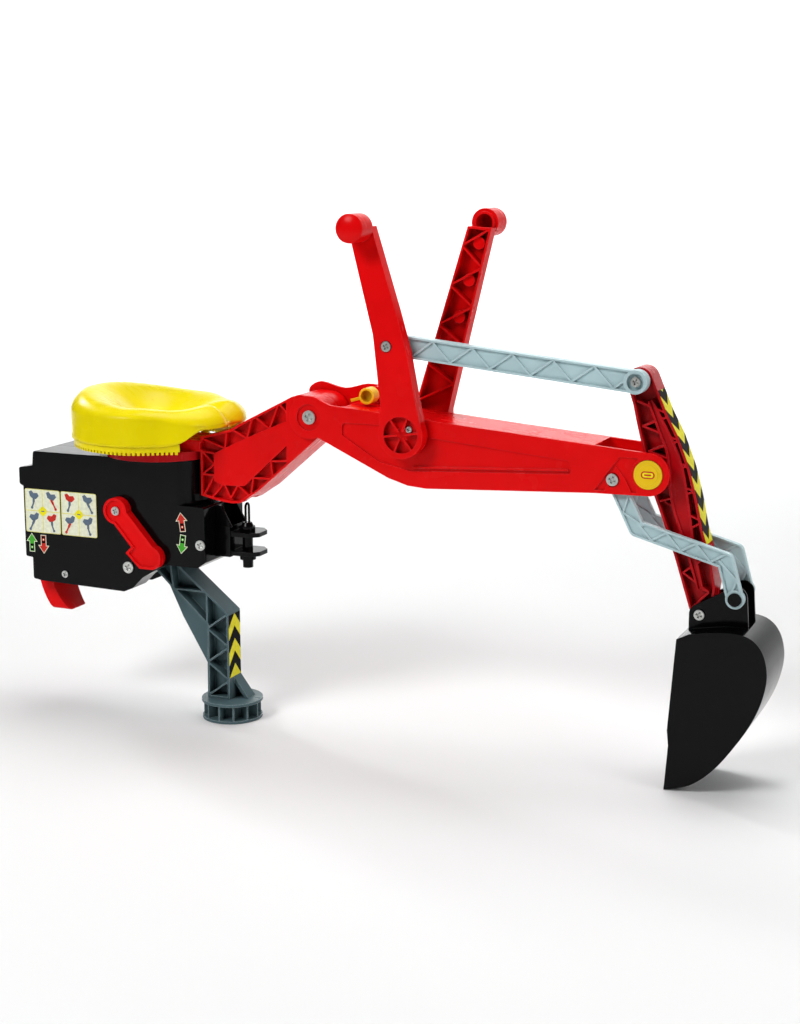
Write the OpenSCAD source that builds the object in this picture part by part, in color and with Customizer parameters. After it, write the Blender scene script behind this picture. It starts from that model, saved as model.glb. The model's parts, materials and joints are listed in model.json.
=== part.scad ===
// Ride-on toy excavator attachment: a seat and a two-lever digging arm on a
// housing with a fold-out support leg. Millimetres. The origin is the centre of
// the support foot on the floor, +X points from the seat to the bucket, +Z up.

/* [Digging arm] */
// Height of the boom pivot above the floor
boom_pivot_z = 428; // [420:1:436]
// Half the width across the outer faces of the boom
boom_half = 37; // [36:0.5:40]
// Thickness of the boom's side walls
boom_wall = 4.5; // [3.5:0.5:6]
// Half the width of the dipper arm
dipper_half = 17; // [15:0.5:18]
// Height of the push rod's bar
rod_height = 27; // [22:1:30]
// Width of the bar of the curved bucket links
link_width = 20; // [16:1:22]

/* [Bucket] */
// Half the width of the bucket
bucket_half = 52; // [46:1:60]
// Wall thickness of the bucket
bucket_wall = 3; // [2.5:0.5:4]

/* [Levers] */
// Radius of the hand grips
grip_radius = 18; // [14:1:20]
// Length of the straight part of a hand grip
grip_length = 50; // [42:1:60]
// Thickness of a lever, measured across the arm
lever_thick = 18; // [14:1:20]

/* [Seat] */
// Half the length of the seat's round pan
seat_a = 118; // [110:1:120]
// Half the width of the seat
seat_b = 118; // [105:1:118]
// Height of the rim at the back of the seat
seat_back_z = 450; // [440:1:455]

/* [Housing] */
// Half the width of the black housing
house_half = 54; // [50:1:58]
// Wall thickness of the housing shells
house_wall = 3; // [2.5:0.5:4]
// Radius of the red turntable under the seat
table_radius = 75.5; // [68:0.5:75.5]

/* [Support leg] */
// Half the width of the leg's frame
leg_half = 17; // [14:0.5:17]
// Radius of the foot's floor plate
foot_radius = 41; // [36:1:44]
// Height of the foot below the leg's frame
foot_height = 28; // [24:1:32]

/* [Hidden] */
$fn = 48;
gap = 0.3;
fit = 0.05;
over = 1;
skin = 3;
rib = 2.5;
label = 0.4;

// Pivot points of the arm, as [x, z]
boom_pivot = [139, boom_pivot_z];
lever_pivot = [275, 416];
lever_to_rod = [-19, 110];
boom_reach = [313, -31];
rod_on_lever = lever_pivot + lever_to_rod;
dipper_pivot = lever_pivot + boom_reach;
rod_on_dipper = dipper_pivot + lever_to_rod;
link_on_boom = dipper_pivot - [44, 9];
bucket_pivot = dipper_pivot + [64, -169];
link_on_bucket = bucket_pivot + [44, 25];
lock_pin_at = [209, 456];
hub_screw_at = [9, 7];
hub_ribs = [8 : 60 : 308];
panel_depth = 2.5;
near_grip_at = [221, 671];
far_grip_at = [343, 675];

// Radii of the round ends and of the steel parts
boom_pivot_r = 28;
boom_end_r = 26;
hub_r = 30;
axle_r = 5;
bolt_r = 4;

// Places on the housing, as [x, z]
slew_x = -100;
house_top = 360;
shelf_z = 301;
leg_pivot = [-126, 210];
latch_pivot = [-190, 195];
lock_pivot = [-137, 289];
near_screws = [[-228, 191]];
far_screws = [[-60, 332], [-250, 340]];
hitch_screw = [-14, 250];
hitch_x = 28;

// Levels of the hitch jaw and of the turntable
jaw_low = [232, 238];
jaw_high = [258, 264];
table_top = 372;
post_reach = 60;
base_half = 32;

// ---------------------------------------------------------------- helpers

// Extrudes a side view, drawn as [x, z], from y0 to y1
module side(y0, y1) {
    translate([0, y1, 0])
        rotate([90, 0, 0])
            linear_extrude(y1 - y0)
                children();
}

// A cylinder across the arm at the point p = [x, z]
module across(p, r, y0, y1) {
    translate([p[0], y1, p[1]])
        rotate([90, 0, 0])
            cylinder(h = y1 - y0, r = r);
}

// A flat bar between two points, in the plane of the side view
module bar2d(a, b, w) {
    d = b - a;
    translate(a)
        rotate(atan2(d[1], d[0]))
            translate([0, -w / 2])
                square([norm(d), w]);
}

// A point part of the way from a to b
function along(a, b, t) = a + (b - a) * t;

// Ribs that zigzag between the line a0-a1 and the line b0-b1
module zigzag2d(a0, a1, b0, b1, n) {
    for (i = [0 : n - 1]) {
        p = i % 2 == 0 ? along(a0, a1, i / n) : along(b0, b1, i / n);
        q = i % 2 == 0 ? along(b0, b1, (i + 1) / n) : along(a0, a1, (i + 1) / n);
        bar2d(p, q, rib);
    }
}

// A bar that follows a line of points, with round corners and ends
module path2d(points, w) {
    core = 0.02;
    offset(r = (w - core) / 2)
        for (i = [0 : len(points) - 2]) {
            bar2d(points[i], points[i + 1], core);
        }
}

// Points of a smooth curve through the given points, with n steps in each span
function smooth(points, n) =
    [for (i = [0 : len(points) - 2], k = [0 : n - 1])
        let (
            a = points[max(i - 1, 0)], b = points[i], c = points[i + 1],
            d = points[min(i + 2, len(points) - 1)], t = k / n
        )
        b + (c - a) * t / 2 + (2 * a - 5 * b + 4 * c - d) * t * t / 2
            + (3 * b - a - 3 * c + d) * t * t * t / 2];

// The strip just inside an outline
module border2d(t) {
    difference() {
        children();
        offset(delta = -t)
            children();
    }
}

// The cross-shaped recess in a screw head whose face is at y
module cross_recess(p, y, span) {
    for (turn = [20, 110]) {
        translate([p[0], y, p[1]])
            rotate([0, turn, 0])
                cube([span, 2.4, span * 0.25], center = true);
    }
}

// A screw whose head stands out on the near side, towards -Y
module near_screw(p, y, head, shank, depth) {
    difference() {
        across(p, head, y - 2.2, y);
        cross_recess(p, y - 2.2, head * 1.2);
    }
    across(p, shank, y, y + depth);
}

// ---------------------------------------------------------------- housing

// Side view of the housing below the turntable
module house2d() {
    offset(r = 3)
        offset(delta = -3)
            polygon([
                [-274, house_top], [-276, 340], [-298, 336], [-298, 313], [-292, 310],
                [-292, 211], [-281, 210], [-281, 180], [-267, 178], [-135, 175],
                [-121, 181], [-105, 197], [-87, 208], [-66, 218], [-20, 218],
                [-8, 226], [-8, shelf_z], [slew_x + table_radius, shelf_z],
                [slew_x + table_radius, house_top]
            ]);
}

// Rounds the front of the housing above the shelf, so that the arm can swing
module front_corner() {
    difference() {
        translate([slew_x, -house_half - over, shelf_z])
            cube([200, 2 * house_half + 2 * over, house_top]);
        translate([slew_x, 0, shelf_z - over])
            cylinder(h = house_top, r = table_radius, $fn = 96);
    }
}

// The closed tunnel in which the top of the leg turns
module leg_tunnel(grow) {
    translate([-180 - grow, -leg_half - 2 - grow, 150])
        cube([130 + 2 * grow, 2 * (leg_half + 2 + grow), 96 + grow]);
}

// The curved slot through which the latch comes out
module latch_slot() {
    side(-33, 33)
        translate(latch_pivot)
            difference() {
                circle(r = 99);
                circle(r = 74);
                translate([-150, 22])
                    square([300, 200]);
                translate([-60, -150])
                    square([300, 300]);
            }
}

// One half of the housing, on the near side (-Y). Only the near half has the
// bore of the lock lever.
module housing_half(near) {
    difference() {
        union() {
            difference() {
                side(-house_half, 0)
                    house2d();
                side(-house_half + house_wall, over)
                    offset(delta = -house_wall)
                        house2d();
            }
            intersection() {
                leg_tunnel(skin);
                side(-house_half + 1, 0)
                    house2d();
            }
            intersection() {
                translate([slew_x, 0, 302])
                    cylinder(h = house_top - 302 - 1, r = 22);
                side(-house_half, 0)
                    house2d();
            }
            for (p = concat(near_screws, far_screws)) {
                across(p, 7, -house_half + 1, 0);
            }
            across(leg_pivot, 13, -house_half + 1, -leg_half - 3);
            across(latch_pivot, 9, -house_half + 1, -34);
            if (near) {
                across(lock_pivot, 14, -house_half + 1, -house_half + 12);
            }
            intersection() {
                difference() {
                    translate([slew_x, 0, shelf_z])
                        cylinder(h = house_top - shelf_z, r = table_radius, $fn = 96);
                    translate([slew_x, 0, shelf_z - over])
                        cylinder(h = house_top, r = table_radius - house_wall, $fn = 96);
                }
                translate([slew_x, -house_half, shelf_z])
                    cube([200, house_half, house_top]);
            }
        }
        front_corner();
        leg_tunnel(0);
        latch_slot();
        translate([slew_x, 0, 290])
            cylinder(h = 100, r = 8 + fit);
        across(leg_pivot, 6, -house_half - over, over);
        across(latch_pivot, bolt_r, -house_half + 2, over);
        if (near) {
            across(lock_pivot, 8 + fit, -house_half - over, -house_half + 13);
        }
        for (p = near ? near_screws : far_screws) {
            across(p, 2.5, -house_half - over, over);
        }
        for (p = near ? far_screws : near_screws) {
            across(p, 2.5, -house_half + 6, over);
        }
        translate([-40, -24 - gap, 230 - gap])
            cube([50, 60, 42 + 2 * gap]);
        across(hitch_screw, 4, -house_half - over, over);
    }
}

module housing_near() {
    color("#151515")
        housing_half(true);
}

module housing_far() {
    color("#151515")
        mirror([0, 1, 0])
            housing_half(false);
}

// Screws that clamp the two shells, from the near side and from the far side
module housing_screws() {
    color("silver") {
        for (p = near_screws) {
            near_screw(p, -house_half, 5, 2.5, 90);
        }
        for (p = far_screws) {
            mirror([0, 1, 0])
                near_screw(p, -house_half, 5, 2.5, 90);
        }
        near_screw(hitch_screw, -house_half, 7, 4, 2 * house_half - 4);
    }
}

// ---------------------------------------------------------------- hitch

// Plan of one plate of the hitch jaw
module jaw2d() {
    polygon([[8, -22], [42, -22], [52, -11], [52, 11], [42, 22], [8, 22]]);
}

module hitch_clevis() {
    color("#1b1b1b")
        difference() {
            union() {
                translate([-36, -24, 230])
                    cube([50, 48, 42]);
                for (z = [jaw_low, jaw_high]) {
                    translate([0, 0, z[0]])
                        linear_extrude(z[1] - z[0])
                            jaw2d();
                }
                for (y = [-22, 18]) {
                    side(y, y + 4)
                        polygon([[-8 + gap, 270], [-8 + gap, 299], [0, 299], [16, 270]]);
                }
                translate([hitch_x, 0, 224])
                    cylinder(h = 10, r = 11);
            }
            translate([-40, -19, 235])
                cube([49, 38, 32]);
            translate([hitch_x, 0, 200])
                cylinder(h = 100, r = 7 + fit);
            across(hitch_screw, 4, -30, 30);
        }
}

// The pin drops through both plates and rests on its collar
module hitch_pin() {
    color("#1b1b1b")
        union() {
            translate([hitch_x, 0, 213])
                cylinder(h = jaw_high[1] - 213 + 1, r = 7);
            translate([hitch_x, 0, jaw_high[1]])
                cylinder(h = 6, r = 10.5);
            translate([hitch_x, 0, jaw_high[1] + 5])
                cylinder(h = 6, r1 = 9, r2 = 6);
        }
}

// The wire loop that lifts the pin
module hitch_pin_loop() {
    wire = 1.6;
    half = 4.8;
    low = jaw_high[1] + 11;
    high = 302 - half - wire;
    color("#202020")
        union() {
            for (s = [-1, 1]) {
                translate([hitch_x, s * half, low])
                    cylinder(h = high - low, r = wire, $fn = 24);
            }
            translate([hitch_x, 0, high])
                rotate([90, 0, 90])
                    rotate_extrude(angle = 180)
                        translate([half, 0])
                            circle(r = wire, $fn = 24);
        }
}

// ---------------------------------------------------------------- chassis controls

module leg_axle() {
    color("silver")
        difference() {
            union() {
                across(leg_pivot, 6, -house_half, house_half);
                across(leg_pivot, 8, -house_half - 2.5, -house_half);
                across(leg_pivot, 8, house_half, house_half + 2.5);
            }
            cross_recess(leg_pivot, -house_half - 2.5, 9);
        }
}

module latch_axle() {
    color("silver")
        across(latch_pivot, bolt_r, -house_half + 2.5, house_half - 2.5);
}

// Side view of the lock lever, with the pawl on its rear edge
module lock_lever2d() {
    tip = [-84, 229];
    union() {
        translate(lock_pivot)
            circle(r = 18);
        translate(tip)
            circle(r = 16);
        bar2d(lock_pivot, tip, 27);
        polygon([[-112, 243], [-122, 233], [-101, 213], [-84, 213], [-90, 240]]);
    }
}

module lock_lever() {
    color("#d01414")
        difference() {
            union() {
                side(-house_half - 14, -house_half - 2 * label)
                    lock_lever2d();
                across(lock_pivot, 8, -house_half - 1, -house_half + 11);
            }
            side(-house_half - 15, -house_half - 11)
                offset(delta = -3.5)
                    lock_lever2d();
            across(lock_pivot, 3, -house_half - 20, -house_half + 12);
        }
}

module lock_lever_screw() {
    color("silver")
        near_screw(lock_pivot, -house_half - 11, 6, 3, 18);
}

// Curved plate that grips the tractor, on two arms from its hinge
module latch2d() {
    translate(latch_pivot)
        difference() {
            circle(r = 98, $fn = 96);
            circle(r = 78, $fn = 96);
            rotate(-30)
                translate([-200, 0])
                    square([400, 200]);
            translate([-200, -262])
                square([400, 200]);
            translate([-47, -200])
                square([200, 400]);
        }
}

// The latch seen from the tractor: wide in the housing and narrow at its tip
module latch_front2d() {
    offset(r = 6)
        offset(delta = -6)
            polygon([[-32, 133], [8, 133], [16, 146], [32, 184], [32, 260], [-32, 260]]);
}

module tractor_latch() {
    color("#d01414")
        difference() {
            union() {
                intersection() {
                    side(-32, 32)
                        latch2d();
                    translate([-400, 0, 0])
                        rotate([90, 0, 90])
                            linear_extrude(400)
                                latch_front2d();
                }
                for (y = [-32, 28]) {
                    side(y, y + 4)
                        union() {
                            translate(latch_pivot)
                                circle(r = 11);
                            translate(latch_pivot)
                                rotate(160)
                                    translate([0, -8])
                                        square([84, 16]);
                        }
                }
            }
            across(latch_pivot, bolt_r + fit, -40, 40);
        }
}

// ---------------------------------------------------------------- labels

// The panel with the picture guide
module guide_sticker() {
    color("#efe9c4")
        translate([-290, -house_half - label, 245.5])
            cube([116, label, 62]);
}

// A flat arrow, drawn pointing up, with its middle at the origin
module arrow2d() {
    polygon([[-4.5, -13], [4.5, -13], [4.5, 2], [9, 2], [0, 13], [-9, 2], [-4.5, 2]]);
}

// Each arrow is [x, z, turn, colour]
arrows = [
    [-281, 231, 0, "#39b24a"], [-262, 230, 180, "#d8342a"],
    [-42, 279, 0, "#d8342a"], [-42, 249, 180, "#39b24a"]
];

module arrow_stickers() {
    for (a = arrows) {
        color(a[3])
            side(-house_half - label, -house_half)
                translate([a[0], a[1]])
                    rotate(a[2])
                        arrow2d();
    }
}

// ---------------------------------------------------------------- support leg

// Side view of the leg's frame
module leg2d() {
    union() {
        polygon([
            leg_pivot + [12, 18], [-85, 222], [5, 149], [5, foot_height], [-29, foot_height],
            [-28, 130], [-105, 199], leg_pivot + [-4, -19]
        ]);
        translate(leg_pivot)
            circle(r = 20);
    }
}

module leg_frame() {
    color("#7f8b92")
        difference() {
            union() {
                side(-leg_half, leg_half)
                    border2d(skin)
                        leg2d();
                side(-rib / 2, rib / 2)
                    union() {
                        leg2d();
                        polygon([
                            [-105, 199], [-74, 134], [-28, 57], [-28, 131]
                        ]);
                    }
                side(-leg_half, leg_half)
                    intersection() {
                        leg2d();
                        union() {
                            zigzag2d([5, 149], [5, 31], [-28, 149], [-28, 31], 5);
                            zigzag2d([-28, 131], [-105, 199], [0.5, 153], [-85, 222], 3);
                        }
                    }
                side(leg_half - 5, leg_half)
                    polygon([[3, 57], [27, foot_height], [3, foot_height]]);
                side(-3, leg_half)
                    polygon([[3, 57], [5, 57], [27, foot_height], [21, foot_height], [3, 51]]);
                across(leg_pivot, 20, -leg_half, leg_half);
            }
            across(leg_pivot, 6 + fit, -leg_half - over, leg_half + over);
        }
}

// Round foot: a rim plate over a ring of upright ribs and a floor plate
module foot() {
    plate = 4;
    count = 12;
    color("#7f8b92")
        difference() {
            union() {
                cylinder(h = plate, r = foot_radius);
                cylinder(h = foot_height - 1, r = foot_radius * 0.55);
                translate([0, 0, foot_height - plate])
                    cylinder(h = plate, r = foot_radius + 1);
                for (i = [0 : count - 1]) {
                    rotate(360 / count * i)
                        translate([0, -rib / 2, 1])
                            cube([foot_radius - 2, rib, foot_height - 2]);
                }
            }
            translate([0, 0, plate])
                cylinder(h = foot_height - 2 * plate, r = foot_radius * 0.45);
        }
}

module leg_sticker() {
    color("#f2d21a")
        translate([5, -leg_half + 1, 58])
            cube([label, 2 * leg_half - 2, 88]);
}

// ---------------------------------------------------------------- turntable and seat

module turntable() {
    low = house_top + gap;
    color("#c01212")
        difference() {
            translate([slew_x, 0, low])
                cylinder(h = table_top - low, r = table_radius - 0.5);
            translate([slew_x, 0, low - over])
                cylinder(h = 40, r = 8);
            seat_screw_row(low - over, 40, 2.5);
        }
}

// Four cylinders, one at each of the seat's posts
module seat_screw_row(z, h, r) {
    for (a = [45 : 90 : 315]) {
        translate([slew_x, 0, z])
            rotate(a)
                translate([post_reach, 0, 0])
                    cylinder(h = h, r = r);
    }
}

module seat_screws() {
    color("silver")
        seat_screw_row(house_top + 1, 32, 2.5);
}

module kingpin() {
    color("silver")
        union() {
            translate([slew_x, 0, 288])
                cylinder(h = table_top - 288, r = 8);
            translate([slew_x, 0, table_top])
                cylinder(h = 7, r = 13, $fn = 6);
        }
}

module kingpin_nut() {
    color("silver")
        translate([slew_x, 0, 293])
            difference() {
                cylinder(h = 8, r = 14, $fn = 6);
                translate([0, 0, -over])
                    cylinder(h = 10, r = 8);
            }
}

// Smooth step from 0 to 1
function ease(t) = let (u = max(0, min(1, t))) u * u * (3 - 2 * u);

seat_x = -104;
seat_side_z = 434;
seat_lobe_z = 430;
seat_steps = 72;
seat_shell = 4;

// How far the front is cut back between and beside the two thigh lobes
function seat_front(a) =
    let (f = off_front(a))
    1 - 0.075 * (1 - ease(f / 14)) - 0.06 * (1 - ease(abs(f - 58) / 26));

// Plan of the seat's outer edge at angle a, scaled by t
function seat_plan(a, t) =
    [seat_x + seat_a * seat_front(a) * t * cos(a),
     seat_b * seat_front(a) * t * sin(a)];

// Angle from the front, to either side
function off_front(a) = abs(a > 180 ? a - 360 : a);

// Height of the ridge: high at the back, with a thigh lobe on each side of the front
function ridge_z(a) =
    let (f = off_front(a))
    seat_side_z + (seat_back_z - seat_side_z) * ease((f - 80) / 90)
        + (seat_lobe_z - seat_side_z) * (1 - ease(abs(f - 45) / 34))
        - 10 * (1 - ease(f / 16));

// Height of the outer edge, which rolls off more at the lobes and at the back
function edge_z(a) =
    let (f = off_front(a))
    ridge_z(a) - 18 + 10 * ease((f - 20) / 50) - 12 * ease((f - 80) / 80);

// Height of the seat's top surface at angle a and radius t
function seat_z(a, t) =
    let (dish = 404, r = 0.8)
    t < r
        ? dish + (ridge_z(a) - dish) * ease(t / r)
        : ridge_z(a) + (edge_z(a) - ridge_z(a)) * pow((t - r) / (1 - r), 2);

// Lower edge of the skirt, raised at the front where the arm comes out
function skirt_z(a) =
    let (f = off_front(a))
    f < 50 ? 406 - 18 * ease((f - 30) / 20) : 386 + 2 * (1 - ease((f - 50) / 10));

function seat_ring(t, drop) =
    [for (i = [0 : seat_steps - 1])
        let (a = 360 * i / seat_steps, p = seat_plan(a, t))
        [p[0], p[1], seat_z(a, t) - drop]];

function skirt_ring(t, up) =
    [for (i = [0 : seat_steps - 1])
        let (a = 360 * i / seat_steps, p = seat_plan(a, t))
        [p[0], p[1], skirt_z(a) + up]];

// Height at which the post at angle a round the kingpin meets the underside
function post_top(a) =
    let (
        x = slew_x + post_reach * cos(a) - seat_x, y = post_reach * sin(a),
        turn = atan2(y, x), t = norm([x, y]) / (seat_a * seat_front(turn))
    )
    seat_z(turn, t) - seat_shell;

seat_tops = [0.12, 0.28, 0.42, 0.56, 0.68, 0.8, 0.88, 0.95, 1];

// Joins a stack of rings into one closed solid with a point at each end
module ring_solid(rings, first, last) {
    n = seat_steps;
    m = len(rings);
    points = concat([first], [for (r = rings) each r], [last]);
    faces = concat(
        [for (i = [0 : n - 1]) [0, 1 + (i + 1) % n, 1 + i]],
        [for (k = [0 : m - 2], i = [0 : n - 1], h = [0, 1])
            let (p = 1 + k * n + i, q = 1 + k * n + (i + 1) % n)
            h == 0 ? [p, q, p + n] : [q, q + n, p + n]],
        [for (i = [0 : n - 1])
            let (b = 1 + (m - 1) * n)
            [b + i, b + (i + 1) % n, b + n]]
    );
    polyhedron(points, faces);
}

module seat() {
    count = len(seat_tops);
    top = [for (t = seat_tops) seat_ring(t, 0)];
    under = [for (k = [count - 3 : -1 : 0]) seat_ring(seat_tops[k] - 0.03, seat_shell)];
    rings = concat(top, [skirt_ring(1, 0), skirt_ring(0.96, 0)], under);
    color("#f5d800")
        union() {
            ring_solid(rings, [seat_x, 0, 404], [seat_x, 0, 404 - seat_shell]);
            difference() {
                for (a = [45 : 90 : 315]) {
                    translate([slew_x, 0, table_top])
                        rotate(a)
                            translate([post_reach, 0, 0])
                                cylinder(h = post_top(a) - table_top, r = 6);
                }
                seat_screw_row(table_top - over, 22, 2.5);
            }
            difference() {
                translate([seat_x, 0, 375])
                    cylinder(h = 15, r = 113);
                translate([seat_x, 0, 374])
                    cylinder(h = 17, r = 109);
                translate([-34, -150, 370])
                    cube([100, 300, 60]);
            }
        }
}

// ---------------------------------------------------------------- boom base

// Side view of the base that carries the boom
module base2d() {
    union() {
        polygon([
            [-84, table_top], [-24, table_top], [-24, 313], [-1, 308], [22, 305.5],
            [35, 307], [62, 325], boom_pivot + [16, -22], boom_pivot + [0, 27],
            boom_pivot + [-15, 28], boom_pivot + [-26, 25], [34, 412], [21, 404],
            [-24, 392], [-24, 387], [-84, 387]
        ]);
        translate(boom_pivot)
            circle(r = 27);
    }
}

// The smooth panel in the middle of the base's side
module base_panel2d() {
    polygon([[-4, 371], [-4, 334], [8, 329], [41, 330], [119, 402], [112, 424], [50, 397]]);
}

// One half of the base. The screws enter from the far half.
base_screw_at = [[-12, 350], [84, 412]];

module base_half(near) {
    color("#d01414")
        difference() {
            union() {
                difference() {
                    side(-base_half, 0)
                        base2d();
                    side(-base_half - over, -base_half + 9)
                        difference() {
                            intersection() {
                                offset(delta = -skin)
                                    base2d();
                                polygon([[-24, 300], [104, 300], [104, 460], [-24, 460]]);
                            }
                            base_panel2d();
                        }
                    side(-base_half + 12, over)
                        offset(delta = -skin)
                            base2d();
                }
                side(-base_half + 1, -base_half + 10)
                    intersection() {
                        base2d();
                        union() {
                            zigzag2d([-22, 311], [-22, 388], [-4, 334], [-4, 371], 5);
                            zigzag2d([-22, 390], [112, 452], [-4, 371], [112, 424], 7);
                            zigzag2d([-10, 309], [50, 316], [0, 332], [41, 330], 4);
                            zigzag2d([50, 316], [150, 395], [41, 330], [119, 402], 6);
                        }
                    }
                across(boom_pivot, 27, -base_half, 0);
                for (p = base_screw_at) {
                    across(p, 6, near ? -base_half + 10 : -base_half, 0);
                }
            }
            across(boom_pivot, axle_r + fit, -base_half - over, over);
            translate([hitch_x - 14, -14, 290])
                cube([28, 30, 62]);
            for (p = base_screw_at) {
                across(p, 2.5, near ? -base_half + 12 : -base_half - over, over);
            }
        }
}

module base_near() {
    base_half(true);
}

module base_far() {
    mirror([0, 1, 0])
        base_half(false);
}

// Screws that clamp the two halves of the base
module base_screws() {
    color("silver")
        for (p = base_screw_at) {
            across(p, 2.5, -base_half + 13, base_half);
            across(p, 5, base_half, base_half + 2);
        }
}

// ---------------------------------------------------------------- boom

module boom2d() {
    union() {
        polygon([
            boom_pivot + [4, 27.7], [170, 445], [214, 442], [302, 434],
            dipper_pivot + [2, 25.9], dipper_pivot + [0, -26], [520, 358],
            [302, 347], [277, 349], [250, 357], boom_pivot + [12, -25.3]
        ]);
        translate(boom_pivot)
            circle(r = boom_pivot_r);
        translate(dipper_pivot)
            circle(r = boom_end_r);
    }
}

// The far cheek's hump, which carries the lock pin
module hump2d() {
    polygon(concat(smooth([[108, 444], [107, 457], [124, 466], [158, 459], [190, 466], [218, 464]], 4), [[218, 440], [130, 438]]));
}

// The sunken panel in the boom's side
module boom_panel2d() {
    offset(r = 5)
        offset(delta = -5)
            polygon([[186, 424], [244, 424], [304, 412], [489, 395], [494, 379], [280, 368], [238, 377], [186, 408]]);
}

module boom() {
    inner = boom_half - boom_wall;
    color("#e01010")
        difference() {
            union() {
                difference() {
                    side(-boom_half, boom_half)
                        boom2d();
                    side(-inner, inner)
                        offset(delta = -skin)
                            boom2d();
                    translate([200, -inner, 300])
                        cube([306, 2 * inner, 84]);
                    translate([90, -inner, 380])
                        cube([95, 2 * inner, 100]);
                    translate([520, -inner, 300])
                        cube([120, 2 * inner, 200]);
                }
                side(-boom_half, boom_half)
                    intersection() {
                        boom2d();
                        union() {
                            for (x = [200, 330, 400, 470]) {
                                bar2d([x, 380], [x + 10, 450], skin);
                            }
                        }
                    }
                side(inner, boom_half)
                    hump2d();
                across(lock_pin_at, 9, 20, boom_half);
                across(lever_pivot, 13, -inner - 1, inner + 1);
                across(boom_pivot, boom_pivot_r, -boom_half, -inner);
                across(boom_pivot, boom_pivot_r, inner, boom_half);
            }
            for (y = [-boom_half - over, boom_half - panel_depth]) {
                side(y, y + panel_depth + over)
                    union() {
                        difference() {
                            boom_panel2d();
                            bar2d([284, 373], [488, 383.5], 2.5);
                        }
                        difference() {
                            polygon([[522, 362], [552, 404], [574, 404], [574, 362]]);
                            polygon([[531, 355], [548, 393], [560, 378], [572, 355]]);
                            translate(dipper_pivot)
                                circle(r = 21);
                        }
                    }
            }
            for (s = [-1, 1]) {
                across(boom_pivot, 17, s * boom_half - 2.5, s * boom_half + 2.5);
                across(dipper_pivot, 18, s * boom_half - 2, s * boom_half + 2);
                across(link_on_boom, 9, s * boom_half - 2, s * boom_half + 2);
            }
            across(boom_pivot, axle_r, -50, 50);
            across(lever_pivot, axle_r, -50, 50);
            across(link_on_boom, bolt_r, -50, 50);
            across(dipper_pivot, axle_r, -50, 50);
            across(lock_pin_at, 4 + fit, 0, 60);
        }
}

// A steel bolt across the arm, with its head on the near side
module cross_bolt(p, r, head, y0, y1) {
    difference() {
        union() {
            across(p, r, y0, y1);
            across(p, head, y0 - 3, y0);
        }
        cross_recess(p, y0 - 3, head * 1.2);
    }
}

module boom_pivot_bolt() {
    color("silver")
        cross_bolt(boom_pivot, axle_r, 9, -boom_half + 2.5, boom_half + 4);
}

module boom_pivot_nut() {
    color("silver")
        difference() {
            translate([boom_pivot[0], boom_half + 4, boom_pivot[1]])
                rotate([90, 0, 0])
                    cylinder(h = 6.5, r = 9, $fn = 6);
            across(boom_pivot, axle_r, 0, 60);
        }
}

module lever_axle() {
    color("silver")
        across(lever_pivot, axle_r, -boom_half - 9, boom_half + 12);
}

module link_bolt() {
    color("silver")
        cross_bolt(link_on_boom, bolt_r, 7.5, -boom_half + 2, boom_half - 2);
}

module dipper_axle() {
    color("silver")
        across(dipper_pivot, axle_r, -boom_half + 2, boom_half - 2);
}

// Round yellow cap over the end of the dipper axle
module end_cap(s) {
    low = s < 0 ? -boom_half - 1.5 : boom_half - 2;
    face = s < 0 ? low : low + 3.5;
    color("#f2c81a")
        difference() {
            across(dipper_pivot, 17.5, low, low + 3.5);
            difference() {
                across(dipper_pivot, 15.5, face - 0.6, face + 0.6);
                across(dipper_pivot, 12, face - 1, face + 1);
            }
        }
}

module end_cap_near() {
    end_cap(-1);
}

module end_cap_far() {
    end_cap(1);
}

// Yellow pull pin that sits in the hump's tube
module lock_pin() {
    p = lock_pin_at;
    color("#f2c81a")
        difference() {
            union() {
                across(p, 4, -4, boom_half + 4);
                across(p, 10.5, -12, 6);
                side(-3, 0)
                    bar2d(p + [-8, -3], p + [-26, -8], 4);
            }
            across(p, 7.5, -13, -2);
        }
}

// ---------------------------------------------------------------- levers

// Side view of the near lever, which leans back towards the seat
module near_lever2d() {
    union() {
        polygon([
            lever_pivot + [-29, 2], [248, 452], [244, 490], [238, 540], [225, 591],
            near_grip_at + [-15, -6], near_grip_at + [15, 2], [270, 566],
            [283, 521], [295, 460], lever_pivot + [29.5, 2]
        ]);
        translate(lever_pivot)
            circle(r = hub_r);
    }
}

// Side view of the far lever, which leans forward
module far_lever2d() {
    union() {
        polygon([
            lever_pivot + [-26, 8], [258, 446], [284, 534], far_grip_at + [-16, -4],
            far_grip_at + [16, -6], [324, 525], [303, 437], lever_pivot + [28, 4]
        ]);
        translate(lever_pivot)
            circle(r = hub_r - 2);
    }
}

// A lever is a shallow tray: a smooth face, a rim and ribs between them.
// y_face is the smooth face and y_open the open face.
module tray(y_face, y_open) {
    low = min(y_face, y_open);
    high = max(y_face, y_open);
    floor_low = y_face < y_open ? low : high - skin;
    side(low, high)
        border2d(skin)
            children();
    side(floor_low, floor_low + skin)
        children();
}

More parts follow.
